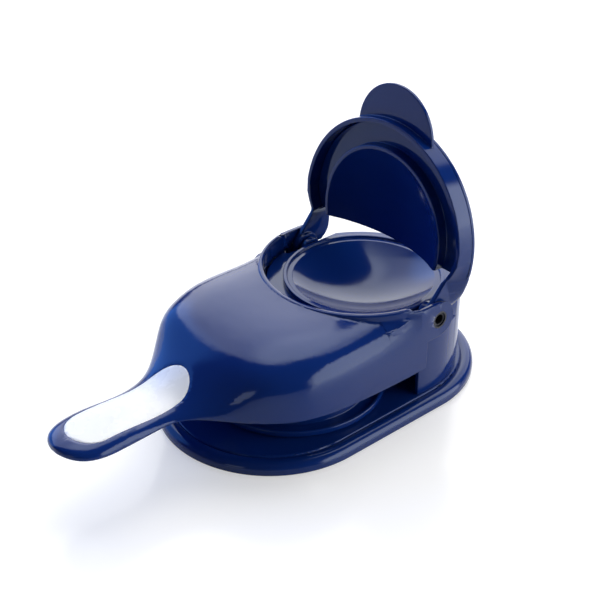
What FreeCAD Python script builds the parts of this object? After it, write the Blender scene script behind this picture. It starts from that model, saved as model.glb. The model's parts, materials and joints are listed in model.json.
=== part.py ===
"""Empanada press: an oval base with a round tower, a hinged lever shell with a dough plunger,
and a half-round folding lid. Millimetres, +Z up, the handle points along -X."""
import FreeCAD, Part
import math
import os
import re

from FreeCAD import Placement, Rotation, Vector

# Driving dimensions, each one written once, grouped by the piece that owns it.
SIZES = {
    # Base: two round ends joined by straight sides.
    "base_radius": 64.0,
    "base_span": 71.0,
    "rear_centre": 2.0,
    "foot_gap": 0.8,
    "rim_top": 6.0,
    "rim_width": 6.5,
    "rim_round": 3.0,
    "groove_width": 1.0,
    "groove_floor": 3.5,
    "platform_top": 8.0,
    "platform_round": 0.8,
    "base_floor": 1.6,
    "hollow_margin": 4.0,
    "hollow_roof": 1.8,
    # Bottom cover and its feet.
    "cover_margin": 3.5,
    "cover_thickness": 1.8,
    "seat_clearance": 0.2,
    "foot_radius": 8.0,
    "foot_sink": 0.8,
    "foot_inset": 13.0,
    # Screws that all pieces share.
    "screw_radius": 1.15,
    "screw_clearance": 0.15,
    "head_radius": 2.5,
    "head_height": 1.4,
    "slot_width": 0.7,
    "slot_depth": 0.8,
    "screw_bite": 5.0,
    "boss_radius": 4.2,
    # Tower: round housing that carries the tray.
    "tower_radius": 55.5,
    "tower_wall": 2.4,
    "deck_top": 56.0,
    "deck_thickness": 2.0,
    "deck_hole": 41.5,
    "tower_front": 9.0,
    "tower_boss_ring": 50.0,
    "tower_boss_height": 16.0,
    # Tray: ring and dish that hold the dough round.
    "tray_radius": 45.8,
    "tray_wall": 2.2,
    "tray_top": 59.5,
    "tray_seat": 58.0,
    "dish_radius": 40.5,
    "dish_depth": 12.0,
    "dish_wall": 2.0,
    "tray_screw_ring": 43.6,
    "tray_screw_bite": 2.6,
    # Hinge: one axis for the lever and the lid.
    "hinge_forward": -2.0,
    "hinge_height": 54.8,
    "pin_radius": 4.0,
    "pin_bore": 2.9,
    "pin_floor": 2.0,
    "pin_recess": 0.7,
    "running_gap": 0.05,
    "bush_wall": 1.0,
    "inner_ear_radius": 6.5,
    "inner_ear_start": 46.5,
    "inner_ear_width": 3.2,
    "arm_start": 50.3,
    "arm_width": 4.7,
    "knuckle_radius": 8.3,
    "arm_room": 0.4,
    "arm_bend": 18.8,
    "swing_top_front": 17.3,
    "swing_low_front": 9.3,
    "swing_low_rise": 1.8,
    "rim_dip_start": 19.0,
    "rim_dip_end": 11.5,
    "notch_front": 14.0,
    "notch_rear": 24.5,
    "notch_floor": 45.0,
    # Dough press: anvil on the base, plunger under the shell.
    "press_forward": 53.5,
    "anvil_radius": 46.6,
    "anvil_top": 7.8,
    "recess_clearance": 0.4,
    "anvil_screw_ring": 30.0,
    "press_gap": 0.3,
    "face_radius": 44.0,
    "face_height": 0.9,
    "flange_radius": 52.0,
    "flange_thickness": 2.0,
    "flange_round": 0.8,
    "flange_lip": 2.0,
    "flange_lip_height": 1.5,
    "flange_lip_round": 0.9,
    "drum_radius": 43.0,
    "drum_wall": 2.0,
    "drum_height": 19.0,
    "carrier_gap": 0.2,
    "carrier_rise": 2.0,
    "carrier_plate": 2.4,
    "carrier_rim": 2.0,
    "carrier_window": 9.0,
    "carrier_window_ring": 24.0,
    "post_radius": 4.6,
    "post_side": 22.0,
    "post_rear": 66.5,
    "post_front": 86.0,
    # Lever shell: body, ears and handle in one moulding.
    "handle_reach": 207.5,
    "shell_half_width": 60.0,
    "hem_height": 28.0,
    "shell_height": 40.0,
    "hem_rise": 10.0,
    "shell_wall": 2.2,
    "ear_inner": 56.1,
    "ear_outer": 58.3,
    "ear_radius": 10.5,
    "seam_forward": 7.0,
    "fairing_front": 34.0,
    "fairing_rear": 12.0,
    "opening_forward": 4.0,
    "opening_radius": 54.2,
    "collar_wall": 2.6,
    "collar_round": 1.3,
    "collar_straight": 1.2,
    "collar_flare": 5.5,
    "collar_top": 67.6,
    "collar_foot": 57.4,
    "collar_side": 56.9,
    "collar_waist_side": 55.6,
    "collar_foot_side": 56.4,
    "opening_side": 4.2,
    "deck_clearance": 0.6,
    # Handle: inlay on top, cover below.
    "inlay_front": 198.5,
    "inlay_rear": 127.5,
    "inlay_half_width": 13.4,
    "inlay_depth": 1.5,
    "inlay_gap": 0.12,
    "grip_wall": 1.6,
    "grip_cover": 1.8,
    "grip_cover_rear": 138.0,
    "grip_screw_front": 192.0,
    "grip_screw_rear": 150.0,
    "grip_screw_bite": 2.2,
    "grip_head_height": 1.1,
    # Lid: ring, arms, flange, half bowl and tab, leaning back.
    "lid_lean": 4.7,
    "lid_back": 5.7,
    "lid_rise": 32.3,
    "lid_radius": 61.2,
    "lid_wall": 2.7,
    "lid_depth": 10.2,
    "lid_cut": 10.7,
    "ledge_width": 3.2,
    "ledge_thickness": 1.2,
    "lid_flange_depth": 7.0,
    "bowl_radius": 43.5,
    "bowl_wall": 2.0,
    "bowl_rim_depth": 1.0,
    "bowl_depth": 10.5,
    "back_thickness": 2.2,
    "dome_gap": 0.4,
    "tab_radius": 28.0,
    "tab_rise": 20.0,
    "tab_depth": 5.5,
    "tab_thickness": 2.0,
    "lid_screw_ring": 56.9,
    "lid_screw_bite": 2.6,
    "knee_width": 2.6,
    "cheek_gap": 0.2,
    "cheek_end": 22.0,
    "cheek_round": 10.5,
    "cheek_clear": 6.9,
    # Cuts that run past a face.
    "overrun": 2.0,
}

doc = FreeCAD.newDocument("EmpanadaPress")
sheet = doc.addObject("Spreadsheet::Sheet", "Sizes")
for row, (alias, size) in enumerate(SIZES.items(), start=1):
    sheet.set(f"A{row}", alias)
    sheet.set(f"B{row}", str(size))
    sheet.setAlias(f"B{row}", alias)
doc.recompute()

ALIAS = re.compile(r"\b(" + "|".join(sorted(SIZES, key=len, reverse=True)) + r")\b")
NODES = {}


def full(expression):
    """Point every alias in an expression at the spreadsheet."""
    return ALIAS.sub(r"Sizes.\1", expression)


def size(expression):
    """The present value of an expression in millimetres."""
    return float(sheet.evalExpression(full(expression)))


def bind(thing, target, expression):
    """Tie a property to an expression of the driving dimensions."""
    thing.setExpression(target, full(expression))


# The tower axis stands here, so that the whole press is centred on the origin.
TOWER = "(handle_reach - base_radius - rear_centre) / 2"
HINGE_X = "hinge_forward * (-1)"
PLATFORM_RADIUS = "(base_radius - rim_width - groove_width)"
COVER_TOP = "(foot_gap + cover_thickness)"
RECESS_FLOOR = "(COVER + head_height + base_floor)".replace("COVER", COVER_TOP)
HEAD_SEAT = f"({COVER_TOP} + head_height)"
FACE_LOW = "(anvil_top + press_gap)"
FLANGE_LOW = f"({FACE_LOW} + face_height)"
FLANGE_TOP = f"({FLANGE_LOW} + flange_thickness)"
CARRIER_TOP = f"({FLANGE_TOP} + carrier_rise + carrier_plate)"
SHELL_TOP = "(hem_height + shell_height)"


def place(thing, at=("0", "0", "0")):
    """Bind the three coordinates of a placement."""
    for letter, expression in zip("xyz", at):
        bind(thing, f"Placement.Base.{letter}", expression)
    return thing


def turn(thing, axis, degrees):
    """Turn a piece about an axis through its own origin."""
    thing.Placement = Placement(thing.Placement.Base, Rotation(Vector(*axis), degrees))
    return thing


def cylinder(label, radius, height, at=("0", "0", "0"), along="Z"):
    """A round bar from its start point, along Z or across along Y."""
    thing = doc.addObject("Part::Cylinder", label)
    bind(thing, "Radius", radius)
    bind(thing, "Height", height)
    if along == "Y":
        turn(thing, (1, 0, 0), -90)
    return place(thing, at)


def block(label, length, width, height, at=("0", "0", "0")):
    """A box from its lowest corner."""
    thing = doc.addObject("Part::Box", label)
    bind(thing, "Length", length)
    bind(thing, "Width", width)
    bind(thing, "Height", height)
    return place(thing, at)


def wide_block(label, length, half_width, height, at):
    """A box that is centred across the press."""
    return block(label, length, f"2 * ({half_width})", height, (at[0], f"-1 * ({half_width})", at[1]))


def ball(label, radius, at):
    thing = doc.addObject("Part::Sphere", label)
    bind(thing, "Radius", radius)
    return place(thing, at)


def cone(label, low_radius, high_radius, height, at):
    thing = doc.addObject("Part::Cone", label)
    bind(thing, "Radius1", low_radius)
    bind(thing, "Radius2", high_radius)
    bind(thing, "Height", height)
    return place(thing, at)


def fuse(label, things):
    thing = doc.addObject("Part::MultiFuse", label)
    thing.Shapes = things
    thing.Refine = True
    return thing


def cut(label, base, *tools):
    """Take tools away from a piece."""
    thing = doc.addObject("Part::Cut", label)
    thing.Base = base
    thing.Tool = tools[0] if len(tools) == 1 else fuse(label + "_tools", list(tools))
    thing.Refine = True
    return thing


def common(label, first, second):
    thing = doc.addObject("Part::Common", label)
    thing.Base = first
    thing.Tool = second
    thing.Refine = True
    return thing


def group(label, things):
    """Several separate solids that share one node."""
    thing = doc.addObject("Part::Compound", label)
    thing.Links = things
    return thing


def tube(label, outer, inner, height, at, along="Z"):
    """A ring with an open bore."""
    body = cylinder(label + "_body", outer, height, at, along)
    return cut(label, body, cylinder(label + "_bore", inner, height, at, along))


def oval(label, radius, low, height):
    """The base outline: two round ends and the straight part between them."""
    span = block(label + "_middle", "base_span", f"2 * ({radius})", height,
                 ("rear_centre - base_span", f"-1 * ({radius})", low))
    ends = [cylinder(label + "_rear", radius, height, ("rear_centre", "0", low)),
            cylinder(label + "_front", radius, height, ("rear_centre - base_span", "0", low))]
    return fuse(label, [span] + ends)


def circle_points(ring, angles, centre_x="0"):
    """Places on a circle, as expressions, by their angles in degrees."""
    return [(f"{centre_x} + {ring} * {math.cos(math.radians(a)):.6f}",
             f"{ring} * {math.sin(math.radians(a)):.6f}") for a in angles]


def screw(label, at_x, at_y, seat, bite, head_low=None, head_height="head_height"):
    """A slotted pan-head screw that points up, its head under the seat."""
    head = cylinder(label + "_head", "head_radius", head_height, (at_x, at_y, f"{seat} - {head_height}"))
    shank = cylinder(label + "_shank", "screw_radius", bite, (at_x, at_y, seat))
    slot = block(label + "_slot", "2 * head_radius", "slot_width", "slot_depth",
                 (f"{at_x} - head_radius", f"{at_y} - slot_width / 2", f"{seat} - {head_height}"))
    return cut(label, fuse(label + "_blank", [head, shank]), slot)


def node(name, thing, lid=False):
    """Give a finished piece its name and its place in the press."""
    thing.Label = name
    if lid:
        turn(thing, (0, 1, 0), 90 + SIZES["lid_lean"])
        bind(thing, "Placement.Rotation.Angle", "(90 + lid_lean) * 1 deg")
        lean = "lid_lean * 1 deg"
        place(thing, (f"{TOWER} + {HINGE_X} + lid_back * cos({lean}) + lid_rise * sin({lean})", "0",
                      f"hinge_height - lid_back * sin({lean}) + lid_rise * cos({lean})"))
    else:
        bind(thing, "Placement.Base.x", TOWER)
    NODES[name] = thing
    return thing


# Places of the screws, each list used by the piece, its neighbour and the screws.
TOWER_SCREWS = circle_points("tower_boss_ring", (-82, -38, 38, 82))
TRAY_SCREWS = circle_points("tray_screw_ring", (60, 180, 300))
ANVIL_SCREWS = circle_points("anvil_screw_ring", (0, 120, 240), "press_forward * (-1)")
POSTS = [("press_post", "-1 * post_front", "0"), ("left_post", "-1 * post_rear", "post_side"),
         ("right_post", "-1 * post_rear", "-1 * post_side")]
COVER_SCREW_RING = f"({PLATFORM_RADIUS} - hollow_margin / 2)"
COVER_SCREWS = (circle_points(COVER_SCREW_RING, (-60, 0, 60), "rear_centre")
                + circle_points(COVER_SCREW_RING, (120, 180, 240), "rear_centre - base_span"))
FEET = (circle_points("(base_radius - foot_inset)", (-35, 35), "rear_centre")
        + circle_points("(base_radius - foot_inset)", (145, 215), "rear_centre - base_span"))


def sketch_on(body, name, height):
    """A sketch on the body's own ground plane, raised to a height."""
    sketch = body.newObject("Sketcher::SketchObject", name)
    ground = next(f for f in body.Origin.OriginFeatures if f.Role == "XY_Plane")
    sketch.AttachmentSupport = [(ground, "")]
    sketch.MapMode = "FlatFace"
    bind(sketch, "AttachmentOffset.Base.z", height)
    return sketch


def constrain(sketch, constraint, expression=None):
    index = sketch.addConstraint(constraint)
    if expression:
        bind(sketch, f"Constraints[{index}]", expression)


def oval_loop(sketch, radius):
    """The base outline as arcs and tangent lines."""
    import Sketcher
    centre_r, centre_f, r = size("rear_centre"), size("rear_centre - base_span"), size(radius)
    up, first = Vector(0, 0, 1), sketch.GeometryCount
    sketch.addGeometry(Part.ArcOfCircle(Part.Circle(Vector(centre_r, 0, 0), up, r), -math.pi / 2, math.pi / 2))
    sketch.addGeometry(Part.LineSegment(Vector(centre_r, r, 0), Vector(centre_f, r, 0)))
    sketch.addGeometry(Part.ArcOfCircle(Part.Circle(Vector(centre_f, 0, 0), up, r), math.pi / 2, 3 * math.pi / 2))
    sketch.addGeometry(Part.LineSegment(Vector(centre_f, -r, 0), Vector(centre_r, -r, 0)))
    rear, top, front, low = first, first + 1, first + 2, first + 3
    for one, at_one, other, at_other in ((rear, 2, top, 1), (top, 2, front, 1), (front, 2, low, 1), (low, 2, rear, 1)):
        constrain(sketch, Sketcher.Constraint("Tangent", one, at_one, other, at_other))
    for arc in (rear, front):
        constrain(sketch, Sketcher.Constraint("PointOnObject", arc, 3, -1))
    constrain(sketch, Sketcher.Constraint("Equal", rear, front))
    constrain(sketch, Sketcher.Constraint("Radius", rear, r), radius)
    constrain(sketch, Sketcher.Constraint("DistanceX", -1, 1, rear, 3, centre_r), "rear_centre")
    constrain(sketch, Sketcher.Constraint("DistanceX", -1, 1, front, 3, centre_f), "rear_centre - base_span")


def circle_loop(sketch, radius, at_x, at_y="0"):
    import Sketcher
    index = sketch.GeometryCount
    sketch.addGeometry(Part.Circle(Vector(size(at_x), size(at_y), 0), Vector(0, 0, 1), size(radius)))
    constrain(sketch, Sketcher.Constraint("Radius", index, size(radius)), radius)
    constrain(sketch, Sketcher.Constraint("DistanceX", -1, 1, index, 3, size(at_x)), at_x)
    constrain(sketch, Sketcher.Constraint("DistanceY", -1, 1, index, 3, size(at_y)), at_y)


def pad(body, sketch, length):
    feature = body.newObject("PartDesign::Pad", sketch.Name + "_pad")
    feature.Profile = sketch
    bind(feature, "Length", length)
    return feature


def pocket(body, sketch, depth):
    """Cut straight down from the sketch."""
    feature = body.newObject("PartDesign::Pocket", sketch.Name + "_pocket")
    feature.Profile = sketch
    bind(feature, "Length", depth)
    return feature


def round_edges(body, feature, name, radius, chosen):
    """Fillet the edges of a feature that a test picks."""
    doc.recompute()
    names = [f"Edge{i}" for i, edge in enumerate(feature.Shape.Edges, start=1) if chosen(edge)]
    fillet = body.newObject("PartDesign::Fillet", name)
    fillet.Base = (feature, names)
    bind(fillet, "Radius", radius)
    return fillet


def at_height(height):
    """Test for edges that lie flat at a height."""
    level = size(height)
    return lambda edge: abs(edge.BoundBox.ZMin - level) + abs(edge.BoundBox.ZMax - level) < 1e-6


def make_base_plate():
    """Rounded rim, groove and platform, hollow below, with the seat of the anvil."""
    body = doc.addObject("PartDesign::Body", "base_plate")
    sketch = sketch_on(body, "base_disc", "foot_gap")
    oval_loop(sketch, "base_radius")
    disc = pad(body, sketch, "rim_top - foot_gap")
    round_edges(body, disc, "rim_outer_round", "rim_round", at_height("rim_top"))

    sketch = sketch_on(body, "rim_inside", "rim_top")
    oval_loop(sketch, "base_radius - rim_width")
    inside = pocket(body, sketch, "rim_top - groove_floor")
    reach = size("rear_centre + base_radius - rim_width")
    level = at_height("rim_top")
    doc.recompute()
    round_edges(body, inside, "rim_inner_round", "rim_round * 4 / 5",
                lambda edge: level(edge) and edge.BoundBox.XMax < reach + 1e-3)

    sketch = sketch_on(body, "platform", "groove_floor")
    oval_loop(sketch, PLATFORM_RADIUS)
    platform = pad(body, sketch, "platform_top - groove_floor")
    round_edges(body, platform, "platform_edge", "platform_round", at_height("platform_top"))

    sketch = sketch_on(body, "anvil_recess", "platform_top")
    circle_loop(sketch, "anvil_radius + recess_clearance", "press_forward * (-1)")
    pocket(body, sketch, f"platform_top - {RECESS_FLOOR}")

    sketch = sketch_on(body, "cover_seat", COVER_TOP)
    oval_loop(sketch, "base_radius - cover_margin")
    pocket(body, sketch, "cover_thickness + overrun")

    sketch = sketch_on(body, "head_room", HEAD_SEAT)
    oval_loop(sketch, f"{PLATFORM_RADIUS} - hollow_margin")
    pocket(body, sketch, "head_height + overrun")

    sketch = sketch_on(body, "hollow", "platform_top - hollow_roof")
    oval_loop(sketch, f"{PLATFORM_RADIUS} - hollow_margin")
    circle_loop(sketch, "anvil_radius + recess_clearance + hollow_roof", "press_forward * (-1)")
    pocket(body, sketch, f"platform_top - hollow_roof - {HEAD_SEAT} + overrun")

    sketch = sketch_on(body, "tower_bosses_below", HEAD_SEAT)
    for at_x, at_y in TOWER_SCREWS:
        circle_loop(sketch, "boss_radius", at_x, at_y)
    pad(body, sketch, f"platform_top - hollow_roof - {HEAD_SEAT} + hollow_roof / 2")

    sketch = sketch_on(body, "screw_holes", "platform_top")
    for at_x, at_y in TOWER_SCREWS + ANVIL_SCREWS:
        circle_loop(sketch, "screw_radius + screw_clearance", at_x, at_y)
    pocket(body, sketch, "platform_top")

    sketch = sketch_on(body, "cover_screw_holes", "platform_top - platform_round")
    for at_x, at_y in COVER_SCREWS:
        circle_loop(sketch, "screw_radius", at_x, at_y)
    holes = pocket(body, sketch, "platform_top")
    body.Tip = holes
    return body


def make_bottom_cover():
    """Plate that closes the base, with seats for feet and screw heads."""
    plate = oval("cover_blank", "base_radius - cover_margin - seat_clearance", "foot_gap", "cover_thickness")
    tools = []
    for i, (at_x, at_y) in enumerate(FEET):
        tools.append(cylinder(f"foot_seat_{i}", "foot_radius + seat_clearance", "foot_sink", (at_x, at_y, "foot_gap")))
    for i, (at_x, at_y) in enumerate(COVER_SCREWS):
        tools.append(cylinder(f"cover_head_{i}", "head_radius + screw_clearance", "grip_head_height",
                              (at_x, at_y, "foot_gap")))
        tools.append(cylinder(f"cover_hole_{i}", "screw_radius + screw_clearance", "cover_thickness",
                              (at_x, at_y, "foot_gap")))
    return cut("bottom_cover", plate, *tools)


def make_tower():
    """Round wall with an open front, a deck and the two inner ears of the hinge."""
    height = "deck_top - platform_top"
    wall = cylinder("tower_wall_body", "tower_radius", height, ("0", "0", "platform_top"))
    inside = cylinder("tower_inside", "tower_radius - tower_wall", f"{height} - deck_thickness",
                      ("0", "0", "platform_top"))
    hole = cylinder("tower_hole", "deck_hole", height, ("0", "0", "platform_top"))
    front = wide_block("tower_window", "2 * tower_radius", "2 * tower_radius", f"{height} - deck_thickness",
                       ("-1 * tower_front - 2 * tower_radius", "platform_top"))
    notches = []
    for side, sign in (("left", 1), ("right", -1)):
        low_y = "arm_start - arm_room" if sign > 0 else "-1 * tower_radius - overrun"
        notches.append(block(f"{side}_notch", "notch_front + notch_rear", "tower_radius + overrun - arm_start + arm_room",
                             "deck_top - notch_floor + overrun", ("-1 * notch_front", low_y, "notch_floor")))
    shell = cut("tower_shell", wall, inside, hole, front, *notches)
    bosses = [cylinder(f"tower_boss_{i}", "boss_radius", "tower_boss_height", (at_x, at_y, "platform_top"))
              for i, (at_x, at_y) in enumerate(TOWER_SCREWS)]
    limit = cylinder("boss_limit", "tower_radius - tower_wall / 2", "tower_boss_height", ("0", "0", "platform_top"))
    inner_bosses = common("tower_bosses", fuse("boss_group", bosses), limit)
    ears = []
    for side, low_y in (("left", "inner_ear_start"), ("right", "-1 * inner_ear_start - inner_ear_width")):
        ears.append(cylinder(f"{side}_ear_round", "inner_ear_radius", "inner_ear_width",
                             (HINGE_X, low_y, "hinge_height"), "Y"))
        ears.append(block(f"{side}_ear_root", "2 * inner_ear_radius", "inner_ear_width", "deck_thickness + inner_ear_radius",
                          (f"{HINGE_X} - inner_ear_radius", low_y, "deck_top - deck_thickness - inner_ear_radius")))
    body = fuse("tower_body", [shell, inner_bosses] + ears)
    pins = [cylinder("pin_seat", "pin_radius", "2 * arm_start", (HINGE_X, "-1 * arm_start", "hinge_height"), "Y")]
    pilots = [cylinder(f"tower_pilot_{i}", "screw_radius", "screw_bite", (at_x, at_y, "platform_top"))
              for i, (at_x, at_y) in enumerate(TOWER_SCREWS)]
    through = [cylinder(f"tray_hole_{i}", "screw_radius + screw_clearance", "deck_thickness",
                        (at_x, at_y, "deck_top - deck_thickness")) for i, (at_x, at_y) in enumerate(TRAY_SCREWS)]
    return cut("tower", body, *(pins + pilots + through))


def make_tray():
    """Ring, seat for the dough round, and the dish below it."""
    ball_radius = "(dish_radius * dish_radius + dish_depth * dish_depth) / (2 * dish_depth)"
    centre = ("0", "0", f"tray_seat - dish_depth + {ball_radius}")
    ring = cylinder("tray_ring", "tray_radius", "tray_top - deck_top", ("0", "0", "deck_top"))
    opening = cylinder("tray_opening", "tray_radius - tray_wall", "tray_top - tray_seat", ("0", "0", "tray_seat"))
    column = cylinder("tray_column", "tray_radius", "tray_seat - deck_top + 2 * dish_depth",
                      ("0", "0", "deck_top - 2 * dish_depth"))
    shell = common("dish_outside", column, ball("dish_outer", f"{ball_radius} + dish_wall", centre))
    limit = cylinder("dish_limit", "deck_hole - running_gap", "2 * dish_depth + deck_top",
                     ("0", "0", "deck_top - 2 * dish_depth"))
    dish = common("dish_blank", shell, limit)
    pilots = [cylinder(f"tray_pilot_{i}", "screw_radius", "tray_screw_bite - deck_thickness / 2", (at_x, at_y, "deck_top"))
              for i, (at_x, at_y) in enumerate(TRAY_SCREWS)]
    blank = fuse("tray_blank", [ring, dish])
    return cut("tray", blank, opening, ball("dish_inner", ball_radius, centre), *pilots)


def make_anvil():
    """Round plate that the dough is pressed on."""
    plate = cylinder("anvil_plate", "anvil_radius", f"anvil_top - {RECESS_FLOOR}",
                     ("-1 * press_forward", "0", RECESS_FLOOR))
    pilots = [cylinder(f"anvil_pilot_{i}", "screw_radius", f"(anvil_top - {RECESS_FLOOR}) / 2", (at_x, at_y, RECESS_FLOOR))
              for i, (at_x, at_y) in enumerate(ANVIL_SCREWS)]
    return cut("anvil", plate, *pilots)


def make_plunger():
    """Press face, flange with a rounded edge, and the drum wall above it."""
    body = doc.addObject("PartDesign::Body", "press_plunger")
    sketch = sketch_on(body, "press_face", FACE_LOW)
    circle_loop(sketch, "face_radius", "press_forward * (-1)")
    pad(body, sketch, "face_height")
    sketch = sketch_on(body, "flange", FLANGE_LOW)
    circle_loop(sketch, "flange_radius", "press_forward * (-1)")
    flange = pad(body, sketch, "flange_thickness")
    low = at_height(FLANGE_LOW)
    widest = size("flange_radius")
    round_edges(body, flange, "flange_edge", "flange_round",
                lambda edge: low(edge) and abs(edge.BoundBox.YMax - widest) < 1e-3)
    sketch = sketch_on(body, "lip", FLANGE_TOP)
    circle_loop(sketch, "flange_radius", "press_forward * (-1)")
    circle_loop(sketch, "flange_radius - flange_lip", "press_forward * (-1)")
    lip = pad(body, sketch, "flange_lip_height")
    round_edges(body, lip, "lip_edge", "flange_lip_round", at_height(f"{FLANGE_TOP} + flange_lip_height"))
    sketch = sketch_on(body, "drum", FLANGE_TOP)
    circle_loop(sketch, "drum_radius", "press_forward * (-1)")
    circle_loop(sketch, "drum_radius - drum_wall", "press_forward * (-1)")
    body.Tip = pad(body, sketch, "drum_height")
    return body


def make_carrier():
    """Plate inside the drum that hangs the plunger on the shell's posts."""
    centre = "-1 * press_forward"
    outer = "drum_radius - drum_wall - carrier_gap"
    plate = cylinder("carrier_disc", outer, "carrier_plate", (centre, "0", f"{FLANGE_TOP} + carrier_rise"))
    rim = tube("carrier_ring", outer, f"{outer} - carrier_rim", "carrier_rise", (centre, "0", FLANGE_TOP))
    holes = [cylinder(f"carrier_hole_{name}", "screw_radius + screw_clearance", "carrier_plate",
                      (at_x, at_y, f"{FLANGE_TOP} + carrier_rise")) for name, at_x, at_y in POSTS]
    for i, (at_x, at_y) in enumerate(circle_points("carrier_window_ring", (0, 100, 260), centre)):
        holes.append(cylinder(f"carrier_window_{i}", "carrier_window", "carrier_plate",
                              (at_x, at_y, f"{FLANGE_TOP} + carrier_rise")))
    return cut("carrier", fuse("carrier_blank", [plate, rim]), *holes)


# Stations of the lever from the hinge to the tip of the handle: place along the reach,
# half width, height of the hem, height of the top, and how square the section is.
STATION_SHARES = (
    (-0.0675, 0.9700, 0.00, 0.9550, 9.00),
    (-0.0096, 0.9717, 0.00, 0.9620, 8.00),
    (0.0964, 0.9800, -0.05, 0.9720, 5.80),
    (0.2169, 0.9933, 0.10, 0.9760, 4.20),
    (0.3133, 1.0000, 0.25, 0.9770, 4.05),
    (0.3952, 0.9767, 0.37, 0.9690, 3.96),
    (0.4675, 0.9100, 0.46, 0.9250, 3.75),
    (0.5301, 0.7833, 0.54, 0.8400, 3.57),
    (0.5880, 0.6167, 0.64, 0.6825, 2.22),
    (0.6458, 0.4417, 0.80, 0.5150, 1.80),
    (0.7036, 0.3333, 0.94, 0.4110, 1.80),
    (0.7711, 0.3067, 0.90, 0.4100, 1.80),
    (0.8578, 0.3133, 0.86, 0.4000, 2.50),
    (0.9253, 0.3033, 0.88, 0.3850, 2.50),
    (0.9735, 0.2233, 0.96, 0.3700, 2.40),
    (1.0000, 0.0333, 1.06, 0.3350, 2.20),
)
ARCH_POINTS = 25
ARCH_STEPS = 400


def arch_point(half, low, top, power, angle):
    """A place on a rounded arch over a flat hem."""
    across, up = math.cos(angle), max(math.sin(angle), 0)
    return (half * math.copysign(abs(across) ** (2 / power), across), low + (top - low) * up ** (2 / power))


def section(at_x, half, low, top, power, drop):
    """A closed section across the lever: flat below, an arch of evenly spread points above."""
    fine = [arch_point(half, low, top, power, math.pi * i / ARCH_STEPS) for i in range(ARCH_STEPS + 1)]
    run = [0.0]
    for before, after in zip(fine, fine[1:]):
        run.append(run[-1] + math.dist(before, after))
    arch = []
    for i in range(ARCH_POINTS):
        goal = run[-1] * i / (ARCH_POINTS - 1)
        after = max(next((k for k, length in enumerate(run) if length >= goal - 1e-9), ARCH_STEPS), 1)
        part = (goal - run[after - 1]) / (run[after] - run[after - 1])
        y, z = (one + part * (two - one) for one, two in zip(fine[after - 1], fine[after]))
        arch.append(Vector(at_x, y, z))
    curve = Part.BSplineCurve()
    curve.interpolate(arch)
    ends = [arch[0], arch[0] - Vector(0, 0, drop), arch[-1] - Vector(0, 0, drop), arch[-1]]
    sides = [Part.makeLine(ends[i + 1], ends[i]) for i in (2, 1, 0)] if drop else [Part.makeLine(arch[-1], arch[0])]
    return Part.Wire([curve.toShape()] + sides)


def lever_loft(wall=0.0, drop=0.0):
    """The lever's outside, or the room inside its wall: longer at the rear, short of the
    tip, and with its floor dropped so that it opens below."""
    reach, half_width = size("handle_reach"), size("shell_half_width")
    hem, tall, rise = size("hem_height"), size("shell_height"), size("hem_rise")
    stations = STATION_SHARES
    if wall:
        first = STATION_SHARES[0]
        stations = ((2 * first[0],) + first[1:],) + STATION_SHARES[:-1]
    wires = []
    for along, wide, low, top, power in stations:
        wires.append(section(-along * (reach - wall), wide * half_width - wall, hem + low * rise,
                             hem + top * tall - wall, power, drop))
    return Part.makeLoft(wires, True, False)


def solid_box(x_low, x_high, half_width, z_low, z_high):
    return Part.makeBox(x_high - x_low, 2 * half_width, z_high - z_low, Vector(x_low, -half_width, z_low))


def capsule(front, rear, half_width, z_low, z_high):
    """An upright prism with two round ends."""
    height = z_high - z_low
    ends = [Part.makeCylinder(half_width, height, Vector(x, 0, z_low)) for x in (-front + half_width, -rear - half_width)]
    middle = solid_box(-front + half_width, -rear - half_width, half_width, z_low, z_high)
    return middle.fuse(ends).removeSplitter()


def side_prism(outline, half_width):
    """A prism across the press from its outline in the side view."""
    corners = [Vector(x, -half_width, z) for x, z in outline]
    return Part.Face(Part.makePolygon(corners + corners[:1])).extrude(Vector(0, 2 * half_width, 0))


def collar_ring():
    """The lip of the opening about its own axis, rounded on top and hollow-flared below."""
    inner, top, foot = size("opening_radius"), size("collar_top"), size("collar_foot")
    outer = inner + size("collar_wall")
    lip, flare = size("collar_round"), size("collar_flare")
    waist = top - lip - size("collar_straight")
    edges = [Part.makeLine(Vector(inner, 0, foot), Vector(inner, 0, top)),
             Part.makeLine(Vector(inner, 0, top), Vector(outer - lip, 0, top)),
             arc_through((outer - lip, top), (outer - lip + lip * math.sqrt(0.5), top - lip + lip * math.sqrt(0.5)),
                         (outer, top - lip)),
             Part.makeLine(Vector(outer, 0, top - lip), Vector(outer, 0, waist)),
             arc_through((outer, waist), (outer + flare * (1 - math.sqrt(0.5)), waist - flare * math.sqrt(0.5)),
                         (outer + flare, waist - flare)),
             Part.makeLine(Vector(outer + flare, 0, waist - flare), Vector(outer + flare, 0, foot)),
             Part.makeLine(Vector(outer + flare, 0, foot), Vector(inner, 0, foot))]
    return Part.Face(Part.Wire(edges)).revolve(Vector(0, 0, 0), Vector(0, 0, 1), 360)


def arc_through(*places):
    return Part.Arc(*(Vector(x, 0, z) for x, z in places)).toShape()


def collar_limit():
    """Room the collar may fill: it narrows below the lip so that the flare ends in the sides."""
    half, waist = size("collar_side"), size("collar_top - collar_round - collar_straight")
    right = [(half, size("collar_top")), (half, waist), (size("collar_waist_side"), waist - size("collar_flare")),
             (size("collar_foot_side"), size("collar_foot"))]
    reach = size("handle_reach")
    loop = [Vector(-reach, y, z) for y, z in right + [(-y, z) for y, z in reversed(right)]]
    return Part.Face(Part.makePolygon(loop + loop[:1])).extrude(Vector(reach + size(HINGE_X), 0, 0))


# The fairing's front end from below: share of the ear's height, share of the shell's half width.
FAIRING_SHARES = ((0.0, 0.978), (0.367, 0.963), (0.605, 0.930), (0.748, 0.892), (0.867, 0.835), (0.967, 0.800),
                  (1.0, 0.797))


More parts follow.
